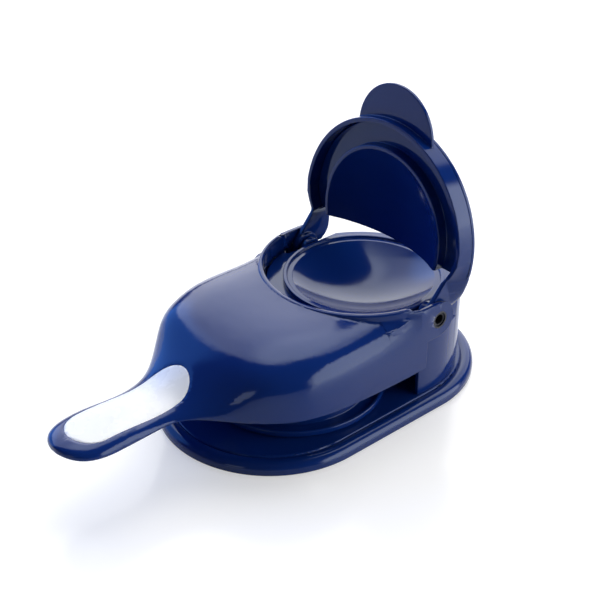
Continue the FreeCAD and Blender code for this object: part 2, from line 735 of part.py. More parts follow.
def ear_fairing(sign):
    """Wedge that carries the collar and the shell's side smoothly out to the flat ear."""
    low, tall = size("hinge_height - ear_radius"), size("2 * ear_radius")
    inner, flat = sign * size("inner_ear_start"), size("ear_outer")
    wires = []
    for x, halves in ((-size("fairing_front"), [half * size("shell_half_width") for rise, half in FAIRING_SHARES]),
                      (-size("fairing_rear"), [flat] * len(FAIRING_SHARES))):
        points = [Vector(x, sign * half, low + rise * tall) for half, (rise, share) in zip(halves, FAIRING_SHARES)]
        curve = Part.BSplineCurve()
        curve.interpolate(points)
        ends = [points[-1], Vector(x, inner, low + tall), Vector(x, inner, low), points[0]]
        wires.append(Part.Wire([curve.toShape()] + [Part.makeLine(one, two) for one, two in zip(ends, ends[1:])]))
    return Part.makeLoft(wires, True, True)


def moved(shape, rise):
    copy = shape.copy()
    copy.translate(Vector(0, 0, rise))
    return copy


def make_lever_pieces():
    """The shell with its handle, the inlay on the handle and the cover below the handle."""
    wall, reach, wide = size("shell_wall"), size("handle_reach"), size("shell_half_width")
    roof, hem, over = size(SHELL_TOP), size("hem_height"), size("overrun")
    outer = lever_loft()
    cavity = lever_loft(wall, size("hem_rise"))
    hinge_x, hinge_z = size(HINGE_X), size("hinge_height")
    neck = -size("grip_cover_rear")
    depth = size("inlay_depth")
    grip_roof = size("inlay_depth + grip_wall")
    room = moved(outer, -grip_roof).common(cavity)
    slab_room = outer.common(cavity).cut(moved(outer, size("grip_cover + inlay_gap")))
    grip_room = room.fuse(slab_room).common(solid_box(-reach, neck, wide, 0, roof))
    body_room = cavity.common(solid_box(neck, size("tower_radius"), 2 * wide, 0, roof))

    # Collar round the opening: a rounded lip whose foot sweeps out into the shoulders.
    middle = Vector(-size("opening_forward"), 0, 0)
    low, high = size("collar_foot"), size("collar_top")
    shell = outer.cut(body_room).cut(grip_room)
    collar = collar_ring()
    collar.translate(middle)
    shell = shell.fuse(collar.common(collar_limit()))
    posts = []
    for name, at_x, at_y in POSTS:
        base = Vector(size(at_x), size(at_y), size(CARRIER_TOP))
        post = Part.makeCylinder(size("post_radius"), roof - base.z, base).common(outer)
        posts.append(post)
    shell = shell.fuse(posts)

    # Ears, then everything that has to stay clear of the tower, the tray and the lid's arms.
    ears = []
    for sign in (1, -1):
        start = size("ear_inner") if sign > 0 else -size("ear_outer")
        thick = size("ear_outer - ear_inner")
        round_end = Part.makeCylinder(size("ear_radius"), thick, Vector(hinge_x, start, hinge_z), Vector(0, 1, 0))
        root = Part.makeBox(hinge_x + size("fairing_rear"), thick, 2 * size("ear_radius"),
                            Vector(-size("fairing_rear"), start, hinge_z - size("ear_radius")))
        ears += [round_end, root, ear_fairing(sign)]
    behind = solid_box(hinge_x, size("tower_radius"), 2 * wide, 0, 2 * roof)
    under_ear = solid_box(-size("seam_forward"), size("tower_radius"), 2 * wide, 0, hinge_z - size("ear_radius"))
    shell = shell.cut([behind, under_ear]).fuse(ears)
    opening = Part.makeCylinder(size("opening_radius"), 2 * roof, middle)
    tower_room = Part.makeCylinder(size("tower_radius + deck_clearance"), low, Vector(0, 0, 0))
    arm_half = size("arm_start + arm_width + arm_room")
    arm_room = solid_box(-size("notch_front - opening_side"), size("tower_radius"), arm_half, 0, 2 * roof)
    swing_low = hinge_z + size("swing_low_rise")
    swing_room = side_prism([(-size("swing_low_front"), swing_low), (-size("swing_top_front"), high), (0, high),
                             (0, swing_low)], arm_half)
    ear_top = hinge_z + size("ear_radius")
    rim_dip = side_prism([(-size("rim_dip_start"), high), (-size("rim_dip_end"), ear_top), (wide, ear_top),
                          (wide, 2 * roof), (-size("rim_dip_start"), 2 * roof)], 2 * wide)
    shell = shell.cut([opening, tower_room, arm_room, swing_room, rim_dip])
    tools = [Part.makeCylinder(size("pin_radius + running_gap + bush_wall"), 4 * wide,
                               Vector(hinge_x, -2 * wide, hinge_z), Vector(0, 1, 0))]
    for name, at_x, at_y in POSTS:
        tools.append(Part.makeCylinder(size("screw_radius"), size("screw_bite"),
                                       Vector(size(at_x), size(at_y), size(CARRIER_TOP))))

    # Seat of the inlay, a little larger than the inlay itself.
    front, rear, half = size("inlay_front"), size("inlay_rear"), size("inlay_half_width")
    gap = size("inlay_gap")
    seat = capsule(front + gap, rear - gap, half + gap, hem, roof).cut(moved(outer, -depth))
    tools.append(seat)
    shell = shell.cut(tools)

    inlay = capsule(front, rear, half, hem, roof).common(outer).cut(moved(outer, gap - depth))
    slab = outer.common(lever_loft(wall + gap, size("hem_rise"))).cut(moved(outer, size("grip_cover")))
    grip_cover = slab.common(solid_box(-reach, neck - gap, wide, 0, roof))
    return biggest(shell), biggest(inlay), biggest(grip_cover)


def biggest(shape):
    """The main solid of a result."""
    return max(shape.Solids, key=lambda solid: solid.Volume)


def feature(label, shape):
    thing = doc.addObject("Part::Feature", label)
    thing.Shape = shape
    return thing


def hem_at(along_x):
    """Height of the handle's underside at a place along the lever."""
    share = -along_x / size("handle_reach")
    for before, after in zip(STATION_SHARES, STATION_SHARES[1:]):
        if before[0] <= share <= after[0]:
            part = (share - before[0]) / (after[0] - before[0])
            return size("hem_height") + size("hem_rise") * (before[2] + part * (after[2] - before[2]))
    return size("hem_height + hem_rise")


def ring_sector(label, outer, inner, low, high):
    """A ring of the lid, cut off below the knee line. In the lid's own frame Z is its depth
    and X points down along it."""
    ring = tube(label + "_full", outer, inner, f"({high}) - ({low})", ("0", "0", low))
    return cut(label, ring, knee_cut(label))


def knee_cut(label):
    return wide_block(label + "_knee", "2 * lid_radius", "2 * lid_radius", "8 * lid_depth",
                      ("lid_cut", "-4 * lid_depth"))


def make_lid_frame():
    """Band with an inner ledge, and the lifting tab that stands out of the band."""
    band = ring_sector("lid_band", "lid_radius", "lid_radius - lid_wall", "0", "lid_depth")
    ledge = ring_sector("lid_ledge", "lid_radius - lid_wall / 2", "lid_radius - lid_wall - ledge_width",
                        "lid_depth - ledge_thickness", "lid_depth")
    screws = [cylinder(f"frame_hole_{i}", "screw_radius + screw_clearance", "lid_depth", (at_x, at_y, "0"))
              for i, (at_x, at_y) in enumerate(LID_SCREWS)]
    ledge = cut("lid_ledge_drilled", ledge, *screws)
    tab = cylinder("tab_plate", "tab_radius", "tab_thickness", ("tab_radius - lid_radius - tab_rise", "0", "tab_depth"))
    inside = cylinder("tab_inside", "lid_radius - lid_wall / 2", "tab_thickness", ("0", "0", "tab_depth"))
    return fuse("lid_rings", [band, ledge, cut("tab", tab, inside)])


# Inside of each cheek and narrowing of its outside, along the lid as shares of the lid's radius.
# The second number is the half width inside, as the same share; below, how far the front
# edge is drawn in from the ring to the arm.
CHEEK_SHARES = ((-0.10, 0.956), (0.0, 0.943), (0.10, 0.915), (0.1748, 0.873), (0.2225, 0.853), (0.66, 0.853))
TAPER_SHARES = ((-0.12, -0.02), (0.02, 0.12), (0.10, 0.42), (0.1748, 0.84), (0.20, 1.0), (0.2206, 1.0), (0.33, 1.0),
                (0.45, 1.0))


def lid_plate(loop, sign, low, high):
    """A plate of the lid from its outline in the front view."""
    corners = [Vector(x, sign * y, low) for x, y in loop]
    return Part.Face(Part.makePolygon(corners + corners[:1])).extrude(Vector(0, 0, high - low))


def lid_taper(sign):
    """Room outside a cheek: it narrows towards the front, clear of the ear while the lid swings."""
    r_out, outer, depth = size("lid_radius"), size("arm_start + arm_width"), size("lid_depth")
    bend = size("lid_rise - arm_bend")
    low, far = -2 * size("lid_back + knuckle_radius"), r_out + size("overrun")
    wires = []
    for along, share in TAPER_SHARES:
        x = along * r_out
        ring = math.sqrt(r_out ** 2 - x ** 2)
        front = ring + share * (outer - ring)
        edge = max(x - bend, 0) * size("cheek_clear / arm_bend")
        loop = [Vector(x, sign * y, z) for y, z in (
            (front, low), (front, edge), (max(ring, front) + size("running_gap"), depth), (far, depth), (far, low))]
        wires.append(Part.makePolygon(loop + loop[:1]))
    return Part.makeLoft(wires, True, True)


def lid_arm(sign):
    """One cheek of the lid: it follows the ring down behind the ear and narrows to the knuckle.
    It is the overlap of its outline from the front and its outline from the side."""
    knee, rise, back = size("lid_cut"), size("lid_rise"), size("lid_back")
    depth, r_out, rear = size("lid_depth"), size("lid_radius"), size("lid_depth + back_thickness")
    radius, over = size("knuckle_radius"), size("overrun")
    inner, outer = size("arm_start"), size("arm_start + arm_width")
    whole = Part.makeCylinder(r_out, rear + back + radius, Vector(0, 0, -back - radius))
    inside = [(along * r_out, half * r_out) for along, half in CHEEK_SHARES]
    strip = lid_plate(inside + [(inside[-1][0], r_out), (inside[0][0], r_out)], sign, -back - radius, rear).common(whole)

    tangent = radius * math.sqrt(0.5)
    start, end, turn_radius = knee + size("cheek_gap"), size("cheek_end"), size("cheek_round")
    middle = Vector(end + turn_radius * math.sqrt(0.5), 0, rear - turn_radius * (1 - math.sqrt(0.5)))
    corner = Part.Arc(Vector(end, 0, rear), middle, Vector(end + turn_radius, 0, rear - turn_radius)).toShape()
    rim_depth, top = size("lid_flange_depth - cheek_gap"), inside[0][0]
    side_view = [(end + turn_radius, rear - turn_radius), (rise + radius / 2, -back), (rise - tangent, -back - tangent),
                 (knee, 0), (top, 0), (top, rim_depth), (start, rim_depth), (start, rear), (end, rear)]
    lines = [Part.makeLine(Vector(x1, 0, z1), Vector(x2, 0, z2)) for (x1, z1), (x2, z2) in zip(side_view, side_view[1:])]
    profile = Part.Face(Part.Wire(lines + [corner]))
    profile.translate(Vector(0, -2 * r_out, 0))
    arm = strip.common(profile.extrude(Vector(0, 4 * r_out, 0)))

    knee_inner = math.sqrt(r_out ** 2 - knee ** 2) - size("knee_width")
    bridge = lid_plate([(knee - over / 2, knee_inner), (knee + over / 2, knee_inner), (knee + over / 2, r_out),
                        (knee - over / 2, r_out)], sign, 0, depth).common(whole)
    low_y = inner if sign > 0 else -outer
    knuckle = Part.makeCylinder(radius, outer - inner, Vector(rise, low_y, -back), Vector(0, 1, 0))
    hole = Part.makeCylinder(size("pin_radius + running_gap + bush_wall"), 2 * r_out,
                             Vector(rise, -r_out, -back), Vector(0, 1, 0))
    return arm.fuse(bridge).cut(lid_taper(sign)).fuse(knuckle).cut(hole)


LID_SCREWS = circle_points("lid_screw_ring", (100, 150, 210, 260))


def make_lid_mould():
    """Flat flange and the half bowl that stands proud of it."""
    flange_high = "lid_depth - ledge_thickness"
    flange = cylinder("mould_flange", "lid_radius - lid_wall - seat_clearance", f"{flange_high} - lid_flange_depth",
                      ("0", "0", "lid_flange_depth"))
    ball_radius = "(bowl_radius * bowl_radius + bowl_depth * bowl_depth) / (2 * bowl_depth)"
    centre = ("0", "0", f"bowl_rim_depth + bowl_depth - {ball_radius}")
    collar = cylinder("bowl_collar", "bowl_radius + bowl_wall", f"{flange_high} - bowl_rim_depth",
                      ("0", "0", "bowl_rim_depth"))
    column = cylinder("bowl_column", "bowl_radius + bowl_wall", "2 * bowl_depth", ("0", "0", "bowl_rim_depth"))
    dome = common("bowl_dome", column, ball("bowl_outer", f"{ball_radius} + bowl_wall", centre))
    hollow = common("bowl_hollow", cylinder("bowl_mouth", "bowl_radius", "2 * bowl_depth + overrun",
                                            ("0", "0", "bowl_rim_depth - overrun")),
                    ball("bowl_inner", ball_radius, centre))
    pilots = [cylinder(f"mould_pilot_{i}", "screw_radius", "lid_depth", (at_x, at_y, "lid_flange_depth + ledge_thickness / 2"))
              for i, (at_x, at_y) in enumerate(LID_SCREWS)]
    return cut("mould", fuse("mould_blank", [flange, collar, dome]), hollow, knee_cut("mould"), *pilots)


def make_lid_back():
    """Back plate with a low dome that clears the bowl."""
    plate = cylinder("back_plate", "lid_radius", "back_thickness", ("0", "0", "lid_depth"))
    rise = "(bowl_rim_depth + bowl_depth + bowl_wall + dome_gap - lid_depth)"
    outer = cone("dome_outer", "bowl_radius + bowl_wall", "bowl_radius - bowl_wall", f"{rise} + back_thickness",
                 ("0", "0", "lid_depth"))
    inner = cone("dome_inner", "bowl_radius", "bowl_radius - 2 * bowl_wall", rise, ("0", "0", "lid_depth"))
    holes = [cylinder(f"back_hole_{i}", "screw_radius + screw_clearance", "back_thickness", (at_x, at_y, "lid_depth"))
             for i, (at_x, at_y) in enumerate(LID_SCREWS)]
    return cut("back", fuse("back_blank", [plate, outer]), inner, knee_cut("back"), *holes)


def make_lid_screws():
    things = []
    for i, (at_x, at_y) in enumerate(LID_SCREWS):
        seat = "lid_depth + back_thickness"
        head = cylinder(f"lid_screw_head_{i}", "head_radius", "head_height", (at_x, at_y, seat))
        shank = cylinder(f"lid_screw_shank_{i}", "screw_radius", "lid_screw_bite + back_thickness",
                         (at_x, at_y, f"{seat} - lid_screw_bite - back_thickness"))
        slot = block(f"lid_screw_slot_{i}", "2 * head_radius", "slot_width", "slot_depth",
                     (f"{at_x} - head_radius", f"{at_y} - slot_width / 2", f"{seat} + head_height - slot_depth"))
        things.append(cut(f"lid_screw_{i}", fuse(f"lid_screw_blank_{i}", [head, shank]), slot))
    return group("lid_screw_set", things)


def cross_pair(label, outer, inner, start, width, height):
    """Two rings on the hinge axis, one on each side of the press."""
    things = []
    for side, low_y in (("left", start), ("right", f"-1 * ({start}) - ({width})")):
        things.append(tube(f"{side}_{label}", outer, inner, width, (HINGE_X, low_y, height), "Y"))
    return things


def make_pins():
    """Tubular hinge pins, closed at their inner end."""
    length = "ear_outer - pin_recess - inner_ear_start"
    things = []
    for side, low_y, bore_y in (
            ("left", "inner_ear_start", "inner_ear_start + pin_floor"),
            ("right", f"-1 * inner_ear_start - ({length})", f"-1 * inner_ear_start - ({length})")):
        body = cylinder(f"{side}_pin_body", "pin_radius", length, (HINGE_X, low_y, "hinge_height"), "Y")
        bore = cylinder(f"{side}_pin_bore", "pin_bore", f"{length} - pin_floor", (HINGE_X, bore_y, "hinge_height"), "Y")
        things.append(cut(f"{side}_pin", body, bore))
    return group("pin_pair", things)


node("base_plate", make_base_plate())
node("base_bottom_cover", make_bottom_cover())
node("rubber_feet", group("feet", [
    cylinder(f"foot_{i}", "foot_radius", "foot_gap + foot_sink", (at_x, at_y, "0")) for i, (at_x, at_y) in enumerate(FEET)]))
node("cover_screws", group("cover_screw_set", [
    screw(f"cover_screw_{i}", at_x, at_y, "foot_gap + grip_head_height", "screw_bite", head_height="grip_head_height")
    for i, (at_x, at_y) in enumerate(COVER_SCREWS)]))
node("tower_housing", make_tower())
node("tower_screws", group("tower_screw_set", [
    screw(f"tower_screw_{i}", at_x, at_y, HEAD_SEAT, f"platform_top - {HEAD_SEAT} + screw_bite - slot_depth")
    for i, (at_x, at_y) in enumerate(TOWER_SCREWS)]))
node("mould_tray", make_tray())
node("tray_screws", group("tray_screw_set", [
    screw(f"tray_screw_{i}", at_x, at_y, "deck_top - deck_thickness", "tray_screw_bite + deck_thickness / 2 - slot_depth / 2")
    for i, (at_x, at_y) in enumerate(TRAY_SCREWS)]))
node("dough_anvil", make_anvil())
node("anvil_screws", group("anvil_screw_set", [
    screw(f"anvil_screw_{i}", at_x, at_y, HEAD_SEAT, "base_floor + slot_depth / 2")
    for i, (at_x, at_y) in enumerate(ANVIL_SCREWS)]))
node("hinge_pins", make_pins())

shell_shape, inlay_shape, grip_cover_shape = make_lever_pieces()
grip_tools = []
grip_screws = []
for i, along in enumerate(("grip_screw_front", "grip_screw_rear")):
    low = hem_at(-size(along))
    sink = size("grip_head_height")
    at = Vector(-size(along), 0, low)
    head = Part.makeCylinder(size("head_radius"), sink, at)
    shank = Part.makeCylinder(size("screw_radius"), size("grip_cover - grip_head_height + grip_screw_bite"),
                              at + Vector(0, 0, sink))
    slot = Part.makeBox(2 * size("head_radius"), size("slot_width"), size("slot_depth"),
                        at - Vector(size("head_radius"), size("slot_width") / 2, 0))
    grip_screws.append(head.fuse(shank).cut(slot))
    grip_tools.append(Part.makeCylinder(size("head_radius + screw_clearance"), sink + size("overrun"),
                                        at - Vector(0, 0, size("overrun"))))
    grip_tools.append(Part.makeCylinder(size("screw_radius + screw_clearance"), 4 * size("grip_cover"), at))
    boss = Part.makeCylinder(size("head_radius"), size("shell_height"), at)
    boss = boss.common(moved(lever_loft(), size("grip_cover + inlay_gap")))
    boss = boss.common(moved(lever_loft(), -size("inlay_depth + grip_wall / 2")))
    pilot = Part.makeCylinder(size("screw_radius"), size("grip_screw_bite"), at + Vector(0, 0, size("grip_cover")))
    shell_shape = shell_shape.fuse(boss).cut(pilot)
node("lever_shell", feature("lever_shell_shape", biggest(shell_shape)))
node("ear_bushes", group("ear_bush_pair", cross_pair(
    "ear_bush", "pin_radius + running_gap + bush_wall", "pin_radius + running_gap", "ear_inner", "ear_outer - ear_inner",
    "hinge_height")))
node("press_plunger", make_plunger())
node("plunger_carrier", make_carrier())
node("plunger_screws", group("plunger_screw_set", [
    screw(f"plunger_screw_{name}", at_x, at_y, f"{FLANGE_TOP} + carrier_rise", "carrier_plate + screw_bite - slot_depth")
    for name, at_x, at_y in POSTS]))
node("grip_inlay", feature("grip_inlay_shape", inlay_shape))
node("handle_under_cover", feature("grip_cover_shape", biggest(grip_cover_shape.cut(grip_tools))))
node("handle_screws", feature("grip_screw_set", Part.makeCompound(grip_screws)))

arms = [feature(f"lid_arm_{i}", lid_arm(sign)) for i, sign in enumerate((1, -1))]
tapers = [feature(f"lid_taper_{i}", lid_taper(sign)) for i, sign in enumerate((1, -1))]
node("lid_frame", fuse("lid_frame_whole", [cut("lid_rings_narrowed", make_lid_frame(), *tapers)] + arms), lid=True)
node("arm_bushes", group("arm_bush_pair", cross_pair(
    "arm_bush", "pin_radius + running_gap + bush_wall", "pin_radius + running_gap", "arm_start", "arm_width",
    "hinge_height")))
node("lid_mould", make_lid_mould(), lid=True)
node("lid_back_cover", make_lid_back(), lid=True)
node("lid_screws", make_lid_screws(), lid=True)

doc.recompute()

faults = [f"{thing.Name}: {thing.State}" for thing in doc.Objects if {"Invalid", "Error"} & set(thing.State)]
for name, thing in NODES.items():
    if thing.Shape.isNull() or not thing.Shape.isValid() or not thing.Shape.Solids:
        faults.append(f"{name}: no valid shape")
if faults:
    raise RuntimeError("; ".join(faults))

os.makedirs("parts", exist_ok=True)
for name, thing in NODES.items():
    thing.Shape.exportStep(f"parts/{name}.step")
    box = thing.Shape.BoundBox
    print(f"{name}: {len(thing.Shape.Solids)} solids, {thing.Shape.Volume:.0f} mm3, "
          f"x {box.XMin:.1f} {box.XMax:.1f} y {box.YMin:.1f} {box.YMax:.1f} z {box.ZMin:.1f} {box.ZMax:.1f}")
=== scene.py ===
"""Empanada press in glossy navy plastic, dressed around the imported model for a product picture."""

import json
import math

import bpy
from mathutils import Matrix, Vector


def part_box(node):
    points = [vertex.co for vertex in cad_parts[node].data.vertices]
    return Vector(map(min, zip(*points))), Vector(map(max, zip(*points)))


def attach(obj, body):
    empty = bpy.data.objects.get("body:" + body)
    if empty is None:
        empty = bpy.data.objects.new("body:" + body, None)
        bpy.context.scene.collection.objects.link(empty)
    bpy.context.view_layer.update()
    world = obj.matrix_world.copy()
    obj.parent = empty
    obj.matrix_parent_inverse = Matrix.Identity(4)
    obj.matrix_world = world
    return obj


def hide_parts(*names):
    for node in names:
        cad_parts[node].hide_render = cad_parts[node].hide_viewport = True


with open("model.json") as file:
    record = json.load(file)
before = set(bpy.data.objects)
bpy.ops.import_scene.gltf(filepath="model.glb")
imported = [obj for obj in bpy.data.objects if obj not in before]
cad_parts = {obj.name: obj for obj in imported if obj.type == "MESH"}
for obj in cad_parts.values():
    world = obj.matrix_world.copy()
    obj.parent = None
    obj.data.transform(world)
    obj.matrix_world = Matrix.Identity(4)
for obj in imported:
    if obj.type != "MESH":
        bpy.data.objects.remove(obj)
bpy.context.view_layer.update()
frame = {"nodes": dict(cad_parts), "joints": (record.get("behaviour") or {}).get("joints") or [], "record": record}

bl_info = {
    "name": "Empanada Press",
    "version": (1, 0, 0),
    "blender": (4, 5, 0),
    "location": "View3D > Sidebar > Press",
    "description": "Builds the finished surfaces, trims and studio of an empanada press",
    "category": "Object",
}

MM = 0.001
HINGE = Vector(frame["joints"][0]["pos_m"])
HINGE_BEHIND_TOWER = 2 * MM
TOWER_X = HINGE.x - HINGE_BEHIND_TOWER

# Radius of the small disc that a turned piece starts and ends with.
CORE = 0.4 * MM
# Into how many steps the turned pieces, their hollows, the bead's section and its round ends are divided.
TURN_POINTS, ARC_STEPS, BEAD_POINTS, BEAD_STEPS = 160, 24, 48, 72

# Screens round the press: name, direction, the cosines where each begins and is full, brightness.
SCREENS = (
    ("back_screen", (0.587, 0.492, 0.643), 0.70, 0.79, 1.9),
    ("back_core", (0.557, 0.663, 0.500), 0.88, 1.0, 0.9),
    ("top_core", (0.372, 0.232, 0.899), 0.90, 0.99, 1.7),
    ("side_strip", (0.565, -0.807, 0.174), 0.84, 0.91, 4.0),
)
TINTED_SCREEN = ("left_screen", (-0.246, 0.919, 0.309), 0.80, 0.92, 2.1)
# Softboxes: name, direction from the press, width and height in metres, brightness.
SOFTBOXES = (
    ("near_softbox", (-0.93, -0.28, 0.24), (0.45, 0.30), 1.5),
)
LAMP_TARGET = (0, 0, 0.05)
# The camera's turn and rise in radians, and its place from the foot of the tower's axis.
CAMERA_TURN, CAMERA_RISE = -0.71772, 0.55112
CAMERA_FROM_TOWER = Vector((-446.5, -456.5, 433.1)) * MM


class PressFinish(bpy.types.PropertyGroup):
    """Colours and surface qualities of the press."""
    navy: bpy.props.FloatVectorProperty(
        name="Navy", description="Main colour of the moulded plastic", subtype="COLOR",
        size=4, min=0, max=1, default=(0.0030, 0.0230, 0.1550, 1.0))
    navy_deep: bpy.props.FloatVectorProperty(
        name="Deep navy", description="Colour in the clouded parts of the plastic", subtype="COLOR",
        size=4, min=0, max=1, default=(0.0026, 0.0190, 0.1350, 1.0))
    inlay: bpy.props.FloatVectorProperty(
        name="Inlay", description="Colour of the white grip inlay", subtype="COLOR",
        size=4, min=0, max=1, default=(0.87, 0.88, 0.90, 1.0))
    # Painted shade: this near-black of the pins and inner carriers stands in for the dark ear holes and the dark
    # space under the shell.
    shade_black: bpy.props.FloatVectorProperty(
        name="Dark plastic", description="Colour of the pins and inner carriers", subtype="COLOR",
        size=4, min=0, max=1, default=(0.004, 0.005, 0.012, 1.0))
    steel: bpy.props.FloatVectorProperty(
        name="Steel", description="Colour of the screws", subtype="COLOR",
        size=4, min=0, max=1, default=(0.62, 0.63, 0.65, 1.0))
    rubber: bpy.props.FloatVectorProperty(
        name="Rubber", description="Colour of the feet", subtype="COLOR",
        size=4, min=0, max=1, default=(0.020, 0.020, 0.022, 1.0))
    sheen_tint: bpy.props.FloatVectorProperty(
        name="Reflection tint", description="Tint of the reflections in the navy plastic", subtype="COLOR",
        size=4, min=0, max=1, default=(0.76, 0.87, 1.0, 1.0))
    gloss: bpy.props.FloatProperty(
        name="Gloss roughness", description="Roughness of the polished plastic",
        default=0.09, min=0, max=1, subtype="FACTOR")
    smooth_angle: bpy.props.FloatProperty(
        name="Smooth angle", description="Edges flatter than this shade smooth",
        default=math.radians(32), subtype="ANGLE", unit="ROTATION")
    weld: bpy.props.FloatProperty(
        name="Weld distance", description="Points closer than this are merged",
        default=0.002 * MM, unit="LENGTH")
    corner_angle: bpy.props.FloatProperty(
        name="Corner angle", description="Edges sharper than this are rounded",
        default=math.radians(38), subtype="ANGLE", unit="ROTATION")
    edge_radius: bpy.props.FloatProperty(
        name="Edge radius", description="Rounding of the moulded edges",
        default=0.45 * MM, unit="LENGTH")


def length(name, description, millimetres):
    """A size of the press, given in millimetres and kept in metres."""
    return bpy.props.FloatProperty(
        name=name, description=description, default=millimetres * MM, unit="LENGTH", precision=5)


class PressBase(bpy.types.PropertyGroup):
    """Sizes of the bead round the oval base."""
    radius: length("Radius", "Radius of the base's round ends", 64.0)
    span: length("Span", "Distance between the centres of the round ends", 71.0)
    rear: length("Rear centre", "Distance of the rear centre behind the tower's axis", 2.0)
    bead_inset: length("Bead inset", "How far the bead stays inside the base's edge", 0.01)
    bead_width: length("Bead width", "Width of the bead", 10.0)
    bead_middle: length("Bead middle", "Height of the bead's widest place", 3.0)
    bead_rise: length("Bead rise", "Height of the bead over its widest place", 4.6)
    bead_drop: length("Bead drop", "Depth of the bead below its widest place", 1.2)


class PressTray(bpy.types.PropertyGroup):
    """Sizes of the mould tray."""
    ring_height: length("Ring height", "Height of the ring over the deck", 3.5)
    ring_width: length("Ring width", "Width of the ring's top", 2.2)
    lip_height: length("Lip height", "Height of the ring over the seat", 1.5)
    dish_radius: length("Dish radius", "Radius of the dish's mouth", 40.5)
    dish_depth: length("Dish depth", "Depth of the dish below the seat", 12.0)
    dish_wall: length("Dish wall", "Thickness of the dish", 2.0)


class PressPlunger(bpy.types.PropertyGroup):
    """Sizes of the plunger."""
    face_radius: length("Face radius", "Radius of the pressing face", 44.0)
    face_height: length("Face height", "Height of the pressing face", 0.9)
    flange_thickness: length("Flange thickness", "Thickness of the flange", 2.0)
    lip_width: length("Lip width", "Width of the flange's upturned lip", 2.0)
    lip_height: length("Lip height", "Height of the lip over the flange", 1.5)
    drum_radius: length("Drum radius", "Outer radius of the drum", 43.0)
    drum_wall: length("Drum wall", "Thickness of the drum's wall", 2.0)
    rounding: length("Rounding", "Rounding of the plunger's edges", 0.7)


class PressLid(bpy.types.PropertyGroup):
    """Place and sizes of the lid, in its own frame: X down along it, Z into its depth."""
    lean: bpy.props.FloatProperty(
        name="Lean", description="How far the lid leans back", default=math.radians(4.7), subtype="ANGLE",
        unit="ROTATION")
    rise: length("Rise", "Distance from the hinge up to the ring's centre", 32.3)
    back: length("Back", "Distance from the hinge back to the ring's front", 5.7)
    knee: length("Knee", "Distance from the ring's centre down to the cut", 10.7)
    flange_radius: length("Flange radius", "Radius of the flange", 58.3)
    flange_front: length("Flange front", "Depth of the flange's face", 7.0)
    flange_rear: length("Flange rear", "Depth of the flange's back", 9.0)
    bowl_radius: length("Bowl radius", "Radius of the bowl's mouth", 43.5)
    bowl_wall: length("Bowl wall", "Thickness of the bowl", 2.0)
    bowl_rim: length("Bowl rim", "Depth of the bowl's rim", 1.0)
    bowl_depth: length("Bowl depth", "Depth of the bowl behind its rim", 10.5)
    rounding: length("Rounding", "Rounding of the mould's edges", 0.6)


class PressStudio(bpy.types.PropertyGroup):
    """Floor, lamps and camera."""
    floor: bpy.props.FloatVectorProperty(
        name="Floor", description="Colour of the floor", subtype="COLOR",
        size=4, min=0, max=1, default=(0.60, 0.60, 0.61, 1.0))
    floor_half: bpy.props.FloatProperty(
        name="Floor half size", description="Half the width of the floor", default=4.0, unit="LENGTH")
    floor_lift: bpy.props.FloatProperty(
        name="Floor lift", description="White added to the floor in the picture only",
        default=0.46, min=0, max=1, subtype="FACTOR")
    floor_lift_mirrored: bpy.props.FloatProperty(
        name="Mirrored floor lift", description="White added to the floor in reflections",
        default=0.30, min=0, max=1, subtype="FACTOR")
    room_level: bpy.props.FloatProperty(
        name="Room level", description="Brightness of the dark side of the room",
        default=0.07, min=0, max=1, subtype="FACTOR")
    tint: bpy.props.FloatVectorProperty(
        name="Tint", description="Colour of the tinted screen on the left", subtype="COLOR",
        size=4, min=0, max=1, default=(0.10, 0.33, 1.0, 1.0))
    lamp_distance: bpy.props.FloatProperty(
        name="Lamp distance", description="Distance of the softboxes", default=1.6, unit="LENGTH")
    lens: bpy.props.FloatProperty(
        name="Lens", description="Focal length in millimetres", default=78.0, unit="CAMERA")


def look():
    """The colours and surface qualities in use."""
    return bpy.context.scene.press_finish


def studio():
    """The studio's values in use."""
    return bpy.context.scene.press_studio


def node_tree(name):
    """A new material with one principled shader."""
    material = bpy.data.materials.new(name)
    material.use_nodes = True
    tree = material.node_tree
    tree.nodes.clear()
    output = tree.nodes.new("ShaderNodeOutputMaterial")
    shader = tree.nodes.new("ShaderNodeBsdfPrincipled")
    tree.links.new(shader.outputs["BSDF"], output.inputs["Surface"])
    coordinates = tree.nodes.new("ShaderNodeTexCoord")
    return material, tree, shader, coordinates.outputs["Object"]


def noise(tree, place, scale, detail=3.0, roughness=0.5):
    """Soft noise that stays fixed to the piece."""
    texture = tree.nodes.new("ShaderNodeTexNoise")
    texture.inputs["Scale"].default_value = scale
    texture.inputs["Detail"].default_value = detail
    texture.inputs["Roughness"].default_value = roughness
    tree.links.new(place, texture.inputs["Vector"])
    return texture.outputs["Fac"]


def spread(tree, value, low, high):
    """Map a texture's middle range to a range of its own."""
    node = tree.nodes.new("ShaderNodeMapRange")
    node.inputs["From Min"].default_value = 0.3
    node.inputs["From Max"].default_value = 0.7
    node.inputs["To Min"].default_value = low
    node.inputs["To Max"].default_value = high
    tree.links.new(value, node.inputs["Value"])
    return node.outputs["Result"]


def blend_colours(tree, value, first, second):
    """One colour where a texture is low and another where it is high."""
    node = tree.nodes.new("ShaderNodeMix")
    node.data_type = "RGBA"
    node.inputs["A"].default_value = first
    node.inputs["B"].default_value = second
    tree.links.new(value, node.inputs["Factor"])
    return node.outputs["Result"]


def bump(tree, shader, value, strength, distance):
    """A shallow relief from a texture."""
    node = tree.nodes.new("ShaderNodeBump")
    node.inputs["Strength"].default_value = strength
    node.inputs["Distance"].default_value = distance
    tree.links.new(value, node.inputs["Height"])
    tree.links.new(node.outputs["Normal"], shader.inputs["Normal"])
    return node


def scaled(colour, share):
    """A colour lightened or darkened, with its alpha left at one."""
    return tuple(channel * share for channel in colour[:3]) + (1.0,)


